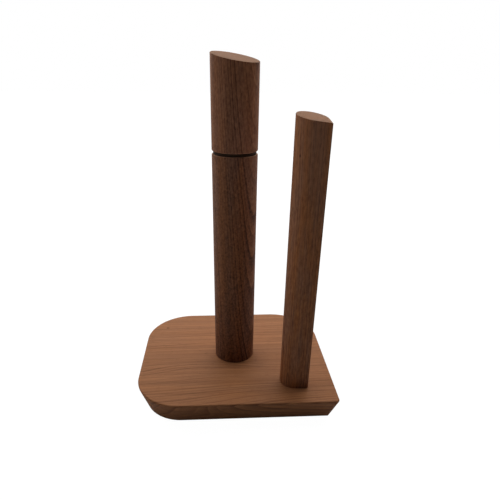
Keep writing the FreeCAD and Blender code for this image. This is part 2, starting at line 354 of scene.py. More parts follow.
class Graph:
    """A material's nodes, made and joined in short lines."""

    def __init__(self, name):
        self.material = bpy.data.materials.new(name)
        self.material.use_nodes = True
        self.tree = self.material.node_tree
        self.surface = self.tree.nodes["Principled BSDF"]

    def node(self, kind, inputs=None, **settings):
        """Adds a node. inputs gives a value or an output for its sockets, by name or by number."""
        made = self.tree.nodes.new("ShaderNode" + kind)
        for key, value in settings.items():
            setattr(made, key, value)
        for key, value in (inputs or {}).items():
            if isinstance(value, bpy.types.NodeSocket):
                self.tree.links.new(value, made.inputs[key])
            else:
                made.inputs[key].default_value = value
        return made

    def math(self, operation, a, b=0.0, c=0.0):
        """One arithmetic node."""
        return self.node("Math", {0: a, 1: b, 2: c}, operation=operation).outputs[0]

    def vector(self, operation, a, b=(0.0, 0.0, 0.0)):
        """One vector arithmetic node."""
        return self.node("VectorMath", {0: a, 1: b}, operation=operation).outputs[0]

    def mapped(self, source, rotation=(0.0, 0.0, 0.0), scale=(1.0, 1.0, 1.0)):
        """Turns and stretches coordinates."""
        return self.node("Mapping", {"Vector": source, "Rotation": rotation, "Scale": scale}).outputs[0]

    def noise(self, source, scale, detail=2.0, roughness=0.5, colour_out=False):
        """Cloudy noise, as a value or as three values."""
        inputs = {"Vector": source, "Scale": scale, "Detail": detail, "Roughness": roughness}
        return self.node("TexNoise", inputs).outputs[1 if colour_out else 0]

    def drawn_out(self, source, cycles, detail, roughness=0.5, colour_out=False):
        """Noise that is drawn out along Z. cycles are the waves for each unit across and along."""
        across, along = cycles
        stretched = self.mapped(source, scale=(across, across, along))
        return self.noise(stretched, 1.0, detail, roughness, colour_out)

    def wander(self, value, scale, detail):
        """Noise along a single value."""
        inputs = {"W": value, "Scale": scale, "Detail": detail}
        return self.node("TexNoise", inputs, noise_dimensions="1D").outputs[0]

    def stepped(self, value, low, high, to_low=0.0, to_high=1.0):
        """A smooth step of value from low to high."""
        inputs = {"Value": value, "From Min": low, "From Max": high, "To Min": to_low, "To Max": to_high}
        return self.node("MapRange", inputs, interpolation_type="SMOOTHSTEP").outputs[0]

    def mix(self, factor, a, b, blend="MIX"):
        """Mixes two colours."""
        made = self.node("Mix", data_type="RGBA", blend_type=blend, clamp_factor=True)
        for socket, value in ((made.inputs[0], factor), (made.inputs[6], a), (made.inputs[7], b)):
            if isinstance(value, bpy.types.NodeSocket):
                self.tree.links.new(value, socket)
            elif isinstance(value, (int, float)):
                socket.default_value = value
            else:
                socket.default_value = (*value, 1.0)
        return made.outputs[2]

    def set(self, socket, value):
        """Sets or feeds one of the surface's sockets."""
        if isinstance(value, bpy.types.NodeSocket):
            self.tree.links.new(value, self.surface.inputs[socket])
        else:
            self.surface.inputs[socket].default_value = value


# walnut's fields: waves for each millimetre across and along the grain
BENDS = (0.030, 0.0075)
STREAKS = (0.26, 0.005)
FIBRES = (1.3, 0.10)
MOTTLE = (0.60, 0.20)
TINT = (0.085, 0.010)
PORES = (1.9, 0.14)

BEND_REACH = 9.0            # millimetres of sway at a bend of 1
MIDDLE_TONE = 0.70          # between 0, the darkest wood, and 1, the lightest
UNEVEN_WAVES = 0.37         # for each ring: how quickly the rings' widths change
UNEVEN_REACH = 2.4          # in rings: how far they wander
EARLY_WOOD = 0.22           # the share of a ring that starts light
LATE_WOOD = (0.10, 0.92)    # the share of a ring over which it darkens
DARKENING = 2.5             # the power of that rise: most of it comes late
STRENGTH_WAVES = 0.73       # for each ring: how quickly the rings' strengths change
RING_STRENGTHS = (0.30, 0.72, 0.30, 1.0)   # a noise's low and high values, and the strengths they give
EARLY_WEIGHT = 0.6          # the light start's weight against the dark line's
END_FACING = (0.60, 0.95)   # how squarely a face cuts the grain, from side grain to end grain
# painted sheen and top light on the end grain: how much lighter it gets, and how much of the pale cut colour
# it takes
END_PAINTED_LIGHT = 0.22
END_PAINTED_SHEEN = 0.45
END_ROUGHER = 0.22
OPEN_PORES = (0.60, 0.70)   # the pore field's values from closed to open
PORE_COLOUR = 0.55
FLECK_COLOUR = 0.75
TINT_CHANGE = (0.34, 0.66)  # the tint field's values from yellower to purpler
YELLOWER = (0.12, -0.02, -0.20)
PURPLER = (-0.08, -0.02, 0.18)
ROUGHNESS_SPREAD = 0.14
WOOD_RELIEF = 0.05 * MM
FIBRE_RELIEF = 0.35         # the fibres' share of it, against the pores'


def from_pith(g, block, seeded, pith, lean, bend):
    """The distance from the pith line, in millimetres."""
    distance, direction = pith
    across = (math.cos(direction), math.sin(direction))
    slow = g.drawn_out(seeded, BENDS, 0.0, colour_out=True)
    reach = BEND_REACH * bend
    sway = g.vector("MULTIPLY", g.vector("SUBTRACT", slow, (0.5, 0.5, 0.5)), (reach, reach, 0.0))
    height = g.node("SeparateXYZ", {0: block}).outputs[2]
    drift = g.node("CombineXYZ", {0: g.math("MULTIPLY", height, -lean * across[0]),
                                  1: g.math("MULTIPLY", height, -lean * across[1])}).outputs[0]
    flat = g.vector("MULTIPLY", block, (1.0, 1.0, 0.0))
    centred = g.vector("SUBTRACT", flat, (distance * across[0], distance * across[1], 0.0))
    radial = g.vector("ADD", g.vector("ADD", centred, drift), sway)
    return g.node("VectorMath", {0: radial}, operation="LENGTH").outputs["Value"]


def ring_marks(g, distance, ring_width):
    """The rings' dark lines, their light starts, and how far each point is through its ring.

    Rings are of uneven width and strength. Each darkens slowly, ends in a thin dark line, and starts
    again light.
    """
    even = g.math("DIVIDE", distance, ring_width)
    uneven = g.wander(g.math("MULTIPLY", even, UNEVEN_WAVES), 1.0, 1.0)
    ring = g.math("ADD", even, g.math("MULTIPLY", uneven, UNEVEN_REACH))
    through = g.math("FRACT", ring)
    darkening = g.math("POWER", g.stepped(through, *LATE_WOOD), DARKENING)
    line = g.math("SUBTRACT", darkening, g.stepped(through, LATE_WOOD[1], 1.0))
    start = g.math("SUBTRACT", 1.0, g.stepped(through, 0.0, EARLY_WOOD))
    strength = g.stepped(g.wander(g.math("FLOOR", ring), STRENGTH_WAVES, 0.0), *RING_STRENGTHS)
    return g.math("MULTIPLY", line, strength), g.math("MULTIPLY", start, strength), through


def end_grain(g, turn):
    """How far a face cuts across the grain: 0 on the sides and 1 on the ends."""
    normal = g.mapped(g.node("TexCoord").outputs["Normal"], rotation=turn)
    facing = g.node("SeparateXYZ", {0: normal}).outputs[2]
    return g.stepped(g.math("ABSOLUTE", facing), *END_FACING)


def tinted_wood(g, tone, seeded, tinted, cast_and_cool_reflection):
    """The wood's colour at a tone, drifting between a yellower and a purpler brown, and tinted at the end:
    partly the wood's hue and partly a painted cool reflection.
    """
    wood = bpy.context.scene.towel_holder_wood
    yellow, purple = (tuple(1.0 + tinted * change for change in tint) for tint in (YELLOWER, PURPLER))
    drift = g.stepped(g.drawn_out(seeded, TINT, 3.0, 0.6), *TINT_CHANGE)
    body = g.mix(tone, tuple(wood.dark), tuple(wood.light))
    # the last multiply is partly the wood's own hue and partly a painted cool reflection
    return g.mix(1.0, g.mix(1.0, body, g.mix(drift, yellow, purple), "MULTIPLY"), cast_and_cool_reflection, "MULTIPLY")


def walnut(name, pith, lean, ring_width, seed, figure, level=0.0, foot_shade_climb=0.0, bend=1.0, short=1.0,
           turn=(0.0, 0.0, 0.0), tinted=1.0, cast_and_cool_reflection=(1.0, 1.0, 1.0), flecks=(), gloss=0.06):
    """Walnut, worked out through the whole block, so that sides and end grain belong together.

    The block is first turned so that its grain runs along Z, in millimetres. Growth rings are the distance
    from the pith: a line at pith = (distance, direction), which moves away from the block's own Z by lean
    for each millimetre of height, in the same direction, and bends slowly. The tone is a level that climbs
    with the height, which is painted shade that darkens the stick towards its foot, less the rings' dark
    lines, plus their light starts, streaks, fibres and mottle.
    figure multiplies the strengths of rings, streaks, fibres and mottle. short makes fibres and mottle
    shorter. tinted is how far the colour drifts, and the piece's own tint then multiplies it: partly the
    wood's hue and partly a painted cool reflection. A fleck is a dark spot: its centre and its reach, in
    millimetres. End grain is made lighter and paler, a painted sheen and top light such as falls on the
    sticks' slanted tops, and it drinks the oil so that it is duller.
    gloss is the strength of the highlights.
    """
    wood = bpy.context.scene.towel_holder_wood
    g = Graph(name)
    block = g.mapped(g.node("TexCoord").outputs["Object"], rotation=turn, scale=(1 / MM, 1 / MM, 1 / MM))
    seeded = g.vector("ADD", block, (seed, seed * 1.7, seed * 2.3))
    line, start, through = ring_marks(g, from_pith(g, block, seeded, pith, lean, bend), ring_width)
    streak = g.drawn_out(seeded, STREAKS, 3.0, 0.6)
    fibre = g.drawn_out(seeded, (FIBRES[0], FIBRES[1] * short), 4.0, 0.65)
    mottle = g.drawn_out(seeded, (MOTTLE[0], MOTTLE[1] * short), 3.0, 0.6)
    end = end_grain(g, turn)

    # tone
    height = g.node("SeparateXYZ", {0: block}).outputs[2]
    rings, streaks, fibres, patches = (
        strength * factor for strength, factor in
        zip((wood.rings, wood.streaks, wood.fibres, wood.mottle), figure))
    # painted shade: the level rises with the height, so each stick is darker towards its foot
    level_and_foot_shade = g.math("MULTIPLY_ADD", height, foot_shade_climb, MIDDLE_TONE + level)
    tone = g.math("SUBTRACT", level_and_foot_shade, g.math("MULTIPLY", line, rings))
    tone = g.math("ADD", tone, g.math("MULTIPLY", start, EARLY_WEIGHT * rings))
    for field, weight in ((streak, streaks), (fibre, fibres), (mottle, patches)):
        tone = g.math("MULTIPLY_ADD", g.math("SUBTRACT", field, 0.5), weight, tone)
    # painted light: faces that cut across the grain, the sticks' slanted tops among them, are made lighter
    tone = g.math("MULTIPLY_ADD", end, END_PAINTED_LIGHT, tone)

    # colour
    open_pore = g.stepped(g.drawn_out(seeded, PORES, 2.0), *OPEN_PORES)
    pore = g.math("MULTIPLY", open_pore, g.math("SUBTRACT", 1.0, through))
    body = tinted_wood(g, tone, seeded, tinted, cast_and_cool_reflection)
    # painted sheen: the end grain is mixed towards the pale colour of a sheen and top light
    body = g.mix(g.math("MULTIPLY", end, END_PAINTED_SHEEN), body, tuple(wood.cut))
    body = g.mix(g.math("MULTIPLY", pore, PORE_COLOUR), body, tuple(wood.pore))
    for centre, reach in flecks:
        offset = g.vector("DIVIDE", g.vector("SUBTRACT", block, centre), reach)
        far = g.node("VectorMath", {0: offset}, operation="LENGTH").outputs["Value"]
        body = g.mix(g.stepped(far, 0.3, 1.0, FLECK_COLOUR, 0.0), body, tuple(wood.pore))
    g.set("Base Color", body)

    # surface
    smoothest = wood.roughness - ROUGHNESS_SPREAD / 2
    rough = g.math("ADD", smoothest, g.math("MULTIPLY", fibre, ROUGHNESS_SPREAD))
    g.set("Roughness", g.math("ADD", rough, g.math("MULTIPLY", end, END_ROUGHER)))
    relief = g.math("SUBTRACT", g.math("MULTIPLY", fibre, FIBRE_RELIEF), pore)
    g.set("Normal", g.node("Bump", {"Height": relief, "Distance": WOOD_RELIEF, "Strength": 0.6}).outputs[0])
    g.set("Specular IOR Level", gloss)
    return g.material


def plain_finish(name, base, metallic, roughness, spread, stretch, depth, speck=0.0, gloss=0.5):
    """A metal, plastic or rubber: its colour and roughness vary a little, and fine marks roughen it.

    spread is how far the marks lighten and darken it, stretch their waves for each millimetre along X, Y
    and Z, depth their relief in millimetres, and speck the strength of its pale speckles.
    """
    g = Graph(name)
    coordinates = g.node("TexCoord").outputs["Object"]
    source = g.mapped(coordinates, scale=tuple(waves / MM for waves in stretch))
    marks = g.noise(source, 1.0, 4.0, 0.65)
    cloud = g.noise(coordinates, 0.12 / MM, 2.0)
    marked = g.stepped(marks, 0.2, 0.8, 1.0 - spread, 1.0 + spread)
    tone = g.math("ADD", marked, g.math("MULTIPLY", cloud, 0.06))
    body = g.mix(1.0, base, g.node("CombineColor", {0: tone, 1: tone, 2: tone}).outputs[0], "MULTIPLY")
    if speck:
        speckles = g.stepped(g.noise(source, 3.0, 0.0), 0.62, 0.72, 0.0, speck)
        body = g.mix(speckles, body, (0.25, 0.25, 0.25))
    g.set("Base Color", body)
    g.set("Metallic", metallic)
    g.set("Specular IOR Level", gloss)
    g.set("Roughness", g.math("ADD", roughness - 0.06, g.math("MULTIPLY", marks, 0.12)))
    bump = g.node("Bump", {"Height": marks, "Distance": depth * MM, "Strength": 0.5})
    g.set("Normal", bump.outputs[0])
    return g.material


TURNED = (0.6, 0.6, 9.0)  # turning marks run round the piece, so their waves are short along Z


def kept(name, tone, *values, **more):
    """A plain finish in one of the fittings' colours, made once and then shared."""
    base = tuple(getattr(bpy.context.scene.towel_holder_fittings, tone))
    return bpy.data.materials.get(name) or plain_finish(name, base, *values, **more)


def steel():
    """Satin steel with fine turning marks."""
    return kept("satin_steel", "steel", 1.0, 0.32, 0.08, TURNED, 0.006)


def brass():
    """Turned brass."""
    return kept("turned_brass", "brass", 1.0, 0.30, 0.08, TURNED, 0.006)


def nylon():
    """Matt nylon, a brown close to black: partly its own colour and partly painted shade in the gap."""
    return kept("dark_nylon", "nylon", 0.0, 0.75, 0.2, (3.0, 3.0, 3.0), 0.01, gloss=0.1)


def rubber():
    """Dark grey rubber with a faint speckle."""
    return kept("foot_rubber", "rubber", 0.0, 0.72, 0.2, (2.0, 2.0, 2.0), 0.03, speck=0.15)


def beech():
    """Pale beech, streaked along the dowel."""
    return kept("dowel_beech", "beech", 0.0, 0.6, 0.18, (2.5, 2.5, 0.12), 0.02)


# ---- Wooden pieces ----

SHARPEST = 0.25 * MM    # the least radius that the board's crisp corner keeps
SHARPEST_EDGE = 0.05 * MM
SLIMMEST = 0.2 * MM     # the easing that a sharp rim counts as, for the rows of faces beside it
CREST_SHARE = 0.45      # how far in from the wall an eased rim's crest is, as a share of the easing
SCREW_ROOM = 0.7        # of an insert's radius: the hole for the screw's end
WASHER_ROOM = 1.0 * MM


def board_mesh():
    """The board's skin: a profile carried round the outline.

    The profile runs out along the underside, up the leaning side and in over the top, with both edges
    eased. At each level the outline is the upper one moved in by the profile's distance, so that the
    round corners stay concentric. The crisp corner's radius changes in step with the height.
    """
    sizes = bpy.context.scene.towel_holder_board
    low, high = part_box("base_board")
    rise = high.z - low.z
    lean = math.atan2(sizes.undercut, rise)
    eased_away = sizes.top_easing * ((1 + math.sin(lean)) / math.cos(lean) - 1)
    reach = 6 * sizes.top_easing
    profile = eased_profile([
        (-sizes.undercut - reach, low.z, 0.0),
        (-sizes.undercut, low.z, sizes.lower_easing),
        (0.0, high.z, sizes.top_easing),
        (-reach, high.z, 0.0),
    ])
    beside_edge = 0.06
    points = []
    for start, end in zip(profile, profile[1:]):
        points.append(start)
        if np.linalg.norm(end - start) > 4 * sizes.top_easing:
            step = (end - start) * beside_edge
            points.extend((start + step, end - step))
    profile = np.array(points + [profile[-1]])
    out, up = profile[:, 0], profile[:, 1]
    level = (up - low.z) / rise
    side = -sizes.undercut * (1 - level)
    crisp = sizes.crisp_radius_below + (sizes.crisp_radius - sizes.crisp_radius_below) * level
    crisp = np.maximum(crisp + np.minimum(out - side, 0.0), SHARPEST)
    back = sizes.back_radius + out
    radii = np.stack((back, back, sizes.front_radius + out, crisp), axis=-1)
    half_x = (high.x - low.x) / 2 + eased_away + out
    half_y = (high.y - low.y) / 2 + eased_away + out
    ring = outline(half_x, half_y, radii, CIRCLE_COLUMNS)
    height = np.broadcast_to(up[:, None, None], ring.shape[:2] + (1,))
    return skin("base_board", np.concatenate((ring, height), axis=-1))


def stick_mesh(name, foot_easing, top_easing, edge_radius=None, slant=0.0, towards=0.0):
    """An upright stick's skin: its section carried up, and sheared so that its top slants.

    The section is a circle, unless its front right corner has an edge radius of its own, which squares
    that quarter. A point's height gets the slope times its distance along the fall, times the share of
    the way up that it is, so the foot stays level.
    """
    low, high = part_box(name)
    centre = np.array(middle(name))
    radius = (high.x - low.x) / 2
    fall = math.tan(slant) * np.array((math.cos(towards), math.sin(towards)))
    highest = high.z if slant == 0.0 else top_level(name, top_easing, slant)
    profile = eased_profile([
        (-0.5 * radius, low.z, 0.0),
        (-2.0 * max(foot_easing, SLIMMEST), low.z, 0.0),
        (0.0, low.z, foot_easing),
        (0.0, highest, top_easing),
        (-2.0 * max(top_easing, SLIMMEST), highest, 0.0),
        (-0.5 * radius, highest, 0.0),
    ])
    out, up = profile[:, 0], profile[:, 1]
    half = radius + out
    edge = half if edge_radius is None else np.maximum(edge_radius + out, SHARPEST_EDGE)
    ring = outline(half, half, np.stack((half, half, half, edge), axis=-1), CIRCLE_COLUMNS + 4)
    margin = max(foot_easing, top_easing)
    climbed = np.clip((up - low.z - margin) / (highest - low.z - 2 * margin), 0.0, 1.0)
    height = up[:, None] - climbed[:, None] * (ring @ fall)
    points = np.concatenate((ring + centre, height[..., None]), axis=-1)
    return skin(name, points)


def top_level(name, easing, slant):
    """The height of a slanted top on the stick's own axis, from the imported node's highest point.

    That point is the crest of the eased rim: a share of the easing in from the wall, and lower than the
    slanted top by what the easing takes off.
    """
    low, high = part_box(name)
    crest = (high.x - low.x) / 2 - CREST_SHARE * easing
    return high.z + easing * (1 / math.cos(slant) - 1) - crest * math.tan(slant)


def dowel_hole(owner, low, high):
    """A hole for the dowel of the post or of the arm."""
    dowel = owner + "_dowel"
    return middle(dowel), ((radius_of(dowel) + FIT, low, high),)


def stick_holes(owner):
    """The holes in the foot of the post or of the arm, for the insert, the screw's end and the dowel."""
    insert = owner + "_insert"
    insert_low, insert_high = (corner.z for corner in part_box(insert))
    screw_end = (radius_of(insert) * SCREW_ROOM, insert_high, insert_high + DEEPER)
    dowel_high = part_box(owner + "_dowel")[1].z
    return [(middle(insert), (hole_for(insert, down=DEEPER), screw_end)),
            dowel_hole(owner, insert_low - DEEPER, dowel_high)]


def board_holes():
    """The holes in the board: counterbored for the screws and washers, and for the dowels and the feet."""
    low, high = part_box("base_board")
    holes = []
    for owner in ("post", "arm"):
        washer = owner + "_washer"
        washer_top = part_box(washer)[1].z
        counterbore = (radius_of(washer) + WASHER_ROOM, low.z - PAST_BOARD, washer_top)
        shank = (radius_of(owner + "_insert") * SCREW_ROOM, washer_top, high.z + PAST_BOARD)
        holes.append((middle(owner + "_screw"), (counterbore, shank)))
        holes.append(dowel_hole(owner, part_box(owner + "_dowel")[0].z, high.z + PAST_BOARD))
    holes.extend((middle(foot), (hole_for(foot, down=PAST_BOARD),)) for foot in FEET)
    return holes


class TOWELHOLDER_OT_board(bpy.types.Operator):
    """Makes the board, bored from below for the screws, the dowels and the feet"""
    bl_idname = "towel_holder.board"
    bl_label = "Board"

    def execute(self, context):
        finish = walnut("walnut_board", (170.0, math.radians(78.0)), -0.05, 2.6, seed=5.0,
                        figure=(0.85, 1.1, 0.9, 0.4), level=0.065, bend=3.0, short=0.3,
                        turn=(0.0, math.pi / 2, 0.0), tinted=0.15, cast_and_cool_reflection=(1.0, 1.02, 1.03),
                        flecks=(((23.4, 49.9, 71.2), (1.2, 1.3, 2.2)),), gloss=0.05)
        place("base_board", bored(board_mesh(), board_holes()), HOLDER, finish)
        return {"FINISHED"}


# pith, lean, ring width and seed: the post and its cap are cut from one length
POST_LOG = ((60.0, math.radians(149.0)), 0.065, 1.7, 11.0)


class TOWELHOLDER_OT_post(bpy.types.Operator):
    """Makes the round post, bored at the foot for its fixing and at the top for the ferrule"""
    bl_idname = "towel_holder.post"
    bl_label = "Post"

    def execute(self, context):
        sticks = context.scene.towel_holder_sticks
        mesh = stick_mesh("roll_post", 0.0, sticks.post_rim)
        ferrule = (middle("post_ferrule"), (hole_for("post_ferrule", up=DEEPER),))
        # painted shade: the post's level climbs with its height, so it is darker towards the foot; its
        # blue-leaning tint is a painted cool reflection
        finish = walnut("walnut_post", *POST_LOG, figure=(0.9, 0.4, 1.6, 1.7), level=-0.42, foot_shade_climb=0.0013,
                        bend=0.35, short=2.5, tinted=0.8, cast_and_cool_reflection=(0.92, 0.98, 1.12))
        place("roll_post", bored(mesh, stick_holes("post") + [ferrule]), HOLDER, finish)
        return {"FINISHED"}


class TOWELHOLDER_OT_cap(bpy.types.Operator):
    """Makes the post's cap, with its slanted top and the blind hole for its insert and stud"""
    bl_idname = "towel_holder.cap"
    bl_label = "Cap"

    def execute(self, context):
        sticks = context.scene.towel_holder_sticks
        mesh = stick_mesh("post_cap", sticks.cap_rim, sticks.top_easing,
                          slant=sticks.cap_slant, towards=sticks.cap_towards)
        stud_end = (radius_of("cap_stud") + 0.4 * MM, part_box("cap_insert")[1].z,
                    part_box("cap_stud")[1].z + DEEPER)
        steps = (hole_for("cap_insert", down=DEEPER), stud_end)
        # painted light: the cap's level is about the one that the post's painted climb reaches at the cap's
        # height; its strong blue tint is a painted cool reflection
        finish = walnut("walnut_cap", *POST_LOG, figure=(0.9, 0.9, 1.3, 1.4), level=-0.095, bend=0.35,
                        short=2.0, tinted=0.4, cast_and_cool_reflection=(1.04, 1.10, 1.32), gloss=0.03)
        place("post_cap", bored(mesh, [(middle("cap_stud"), steps)]), CAP, finish)
        return {"FINISHED"}


class TOWELHOLDER_OT_arm(bpy.types.Operator):
    """Makes the tear arm, round but for one squared quarter, with its slanted top"""
    bl_idname = "towel_holder.arm"
    bl_label = "Tear arm"

    def execute(self, context):
        sticks = context.scene.towel_holder_sticks
        mesh = stick_mesh("tear_arm", 0.0, sticks.top_easing, sticks.arm_edge,
                          sticks.arm_slant, sticks.arm_towards)
        # painted shade: the arm's level climbs with its height, so it is darker towards the foot; its slight
        # blue tint is a painted cool reflection
        finish = walnut("walnut_arm", (60.0, math.radians(200.0)), 0.012, 1.7, seed=37.0,
                        figure=(1.0, 0.7, 1.5, 1.5), level=-0.13, foot_shade_climb=0.0015, bend=0.4,
                        cast_and_cool_reflection=(1.0, 1.02, 1.06), flecks=(((44.5, -53.2, 227.6), (0.9, 0.9, 1.5)),))
        place("tear_arm", bored(mesh, stick_holes("arm")), HOLDER, finish)
        return {"FINISHED"}


# ---- Fittings ----

ROWS_PER_TURN = 10
FLAT_CREST = 0.10          # half the width of a thread's crest, in pitches
FLANK = 0.28               # the width of its sloping side, in pitches
THREAD_DEPTH = 0.61        # of the pitch, in a machine thread
WOOD_THREAD = 0.75 * MM    # the depth of the inserts' outer thread
SHANK = 3.0 * MM           # the plain length below a screw's head
DOME_RISE = 0.75           # of the head's height
SOCKET_DEPTH = 0.55        # of the head's height
NICK = 0.1 * MM            # the smallest chamfer
FLUTES = 16

# thread radius, thread pitch and socket across its flats
SCREWS = {"post": (4.0 * MM, 1.25 * MM, 5.0 * MM), "arm": (3.0 * MM, 1.0 * MM, 4.0 * MM)}


def thread(crest, depth, pitch, low, high, fade_low=True, fade_high=True):
    """A thread's rows: (radius by columns, heights).

    The radius is the crest less the depth times a flat-topped wave of height over pitch less the turn.
    The wave fades out over one pitch at each end that is asked for.
    """
    turns = (high - low) / pitch
    up = np.linspace(low, high, int(turns * ROWS_PER_TURN) + 1)
    turn = turn_angles(FITTING_COLUMNS)[None, :] / (2 * math.pi)
    phase = np.mod(up[:, None] / pitch - turn, 1.0)
    wave = np.clip((np.abs(phase - 0.5) - FLAT_CREST) / FLANK, 0.0, 1.0)
    fade = np.ones_like(up)
    if fade_low:
        fade = np.minimum(fade, (up - low) / pitch)
    if fade_high:
        fade = np.minimum(fade, (high - up) / pitch)
    return crest - depth * wave * np.clip(fade, 0.0, 1.0)[:, None], up


def rows(*profile):
    """Plain round rows from (radius, height) pairs: (radius by columns, heights)."""
    radius, up = np.array(profile, float).T
    return np.repeat(radius[:, None], FITTING_COLUMNS, axis=1), up


def stacked(centre, *parts):
    """Rings through several groups of rows, one after another."""
    radius = np.concatenate([part[0] for part in parts])
    up = np.concatenate([part[1] for part in parts])
    return circles(radius, up, centre, FITTING_COLUMNS)


def hexagon(across_flats):
    """The radius of a hexagon at each column: half its width over the cosine of the angle from a flat."""
    sixth = math.pi / 3
    angle = np.mod(turn_angles(FITTING_COLUMNS), sixth) - sixth / 2
    return (across_flats / 2) / np.cos(angle)


def screw_mesh(name, thread_radius, pitch, across_flats):
    """A button-head screw: out of the socket, over the domed head, up the shank and its thread."""
    low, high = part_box(name)
    centre = middle(name)
    head = radius_of(name)
    head_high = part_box(name.replace("screw", "washer"))[0].z
    head_rise = head_high - low.z
    floor = low.z + SOCKET_DEPTH * head_rise
    flats = hexagon(across_flats)
    mouth = flats.max() + 0.15 * MM
    socket = (np.stack((flats * 0.25, flats * 0.98, flats, flats)),
              np.array((floor + 3 * NICK, floor, floor - NICK, low.z + 0.25 * MM)))
    dome_turn = np.linspace(0.0, math.pi / 2, 14)
    dome_radius = mouth + (head - mouth) * np.sin(dome_turn)
    dome_up = low.z + DOME_RISE * head_rise * (1 - np.cos(dome_turn))
    dome = rows(*zip(dome_radius, dome_up))
    under = rows((head, head_high - NICK), (head - NICK, head_high), (thread_radius + 3 * NICK, head_high),
                 (thread_radius, head_high + 3 * NICK), (thread_radius, head_high + SHANK))
    depth = THREAD_DEPTH * pitch
    cut = thread(thread_radius, depth, pitch, head_high + SHANK, high.z - 6 * NICK, fade_high=False)
    root = thread_radius - depth
    tip = rows((root, high.z - NICK), (root - 5 * NICK, high.z))
    return skin(name, stacked(centre, socket, dome, under, cut, tip))


def insert_mesh(name, bore, pitch, outer_pitch):
    """A threaded insert: a coarse wood thread outside, and a machine thread inside that fits its screw."""
    low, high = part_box(name)
    centre = middle(name)
    outer = radius_of(name)
    outside = thread(outer, WOOD_THREAD, outer_pitch, low.z + 0.6 * MM, high.z - 0.6 * MM)
    inside = thread(bore, THREAD_DEPTH * pitch, pitch, low.z + 0.4 * MM, high.z - 0.4 * MM)
    ends_low = rows((bore + 0.4 * MM, low.z), (outer - 0.9 * MM, low.z), (outer, low.z + 0.5 * MM))
    ends_high = rows((outer, high.z - 0.5 * MM), (outer - 0.9 * MM, high.z), (bore + 0.4 * MM, high.z))
    back_down = (inside[0][::-1], inside[1][::-1])
    return skin(name, stacked(centre, ends_low, outside, ends_high, back_down), loop=True)


def sleeve_mesh(name, bore, easing, grooves=()):
    """A plain ring or sleeve with eased corners, and shallow grooves round the outside."""
    low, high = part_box(name)
    outer = radius_of(name)
    bottom = outer - 0.35 * MM
    profile = [(bore + easing, low.z), (outer - easing, low.z), (outer, low.z + easing)]
    for up in grooves:
        profile += [(outer, up - 0.5 * MM), (bottom, up - 0.25 * MM),
                    (bottom, up + 0.25 * MM), (outer, up + 0.5 * MM)]
    profile += [(outer, high.z - easing), (outer - easing, high.z), (bore + easing, high.z),
                (bore, high.z - easing), (bore, low.z + easing)]
    return skin(name, stacked(middle(name), rows(*profile)), loop=True)


def dowel_mesh(name):
    """A fluted dowel: the radius dips in narrow flutes all round, and the ends are chamfered."""
    low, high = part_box(name)
    radius = radius_of(name)
    flutes = 0.09 * radius * np.maximum(np.cos(FLUTES * turn_angles(FITTING_COLUMNS)), 0.0) ** 2
    chamfer = 0.25 * radius
    wall = np.stack((radius - flutes, radius - flutes))
    parts = (rows((0.4 * radius, low.z), (radius - chamfer, low.z)),
             (wall, np.array((low.z + chamfer, high.z - chamfer))),
             rows((radius - chamfer, high.z), (0.4 * radius, high.z)))
    return skin(name, stacked(middle(name), *parts))


def foot_mesh(name):
    """A rubber foot: an eased rim, and three shallow grooves round the sole."""
    low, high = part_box(name)
    radius = radius_of(name)
    easing = 0.5 * MM
    groove = 0.25 * MM
    sole = []
    for share_out in (0.30, 0.52, 0.74):
        out = share_out * radius
        sole += [(out - groove, low.z), (out, low.z + groove), (out + groove, low.z)]
    turn = np.linspace(0.0, math.pi / 2, 7)
    rim = list(zip(radius - easing + easing * np.sin(turn), low.z + easing * (1 - np.cos(turn))))
    top = [(radius, high.z - NICK), (radius - NICK, high.z), (0.4 * radius, high.z)]
    return skin(name, stacked(middle(name), rows(*sole, *rim, *top)))


def stud_mesh(name, radius, pitch):
    """The cap's stud: a chamfered plain pin, threaded where it is in the insert."""
    low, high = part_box(name)
    cap_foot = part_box("post_cap")[0].z
    tip = rows((0.5 * radius, low.z), (radius - 1.0 * MM, low.z), (radius - 0.8 * MM, low.z + 0.05 * MM),
               (radius, low.z + 1.0 * MM), (radius, cap_foot))
    cut = thread(radius, THREAD_DEPTH * pitch, pitch, cap_foot, high.z - 0.8 * MM, fade_high=False)
    end = rows((radius - 0.9 * MM, high.z - NICK), (radius - 1.2 * MM, high.z), (0.5 * radius, high.z))
    return skin(name, stacked(middle(name), tip, cut, end))


class TOWELHOLDER_OT_cap_fittings(bpy.types.Operator):
    """Makes the ferrule, the dark ring, and the cap's stud and insert"""
    bl_idname = "towel_holder.cap_fittings"
    bl_label = "Cap fittings"

    def execute(self, context):
        radius = radius_of("cap_stud")
        pitch = 1.5 * MM
        place("cap_stud", stud_mesh("cap_stud", radius, pitch), CAP, steel())
        insert = insert_mesh("cap_insert", radius + FIT, pitch, 3.0 * MM)
        place("cap_insert", insert, CAP, brass())
        ferrule_low, ferrule_high = (corner.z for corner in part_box("post_ferrule"))
        grooves = np.linspace(ferrule_low, ferrule_high, 6)[1:-1]
        ferrule = sleeve_mesh("post_ferrule", radius + FIT, 0.4 * MM, grooves)
        place("post_ferrule", ferrule, HOLDER, brass())
        ring = sleeve_mesh("spacer_ring", radius + FIT, 0.2 * MM)
        place("spacer_ring", ring, SPACER, nylon())
        return {"FINISHED"}


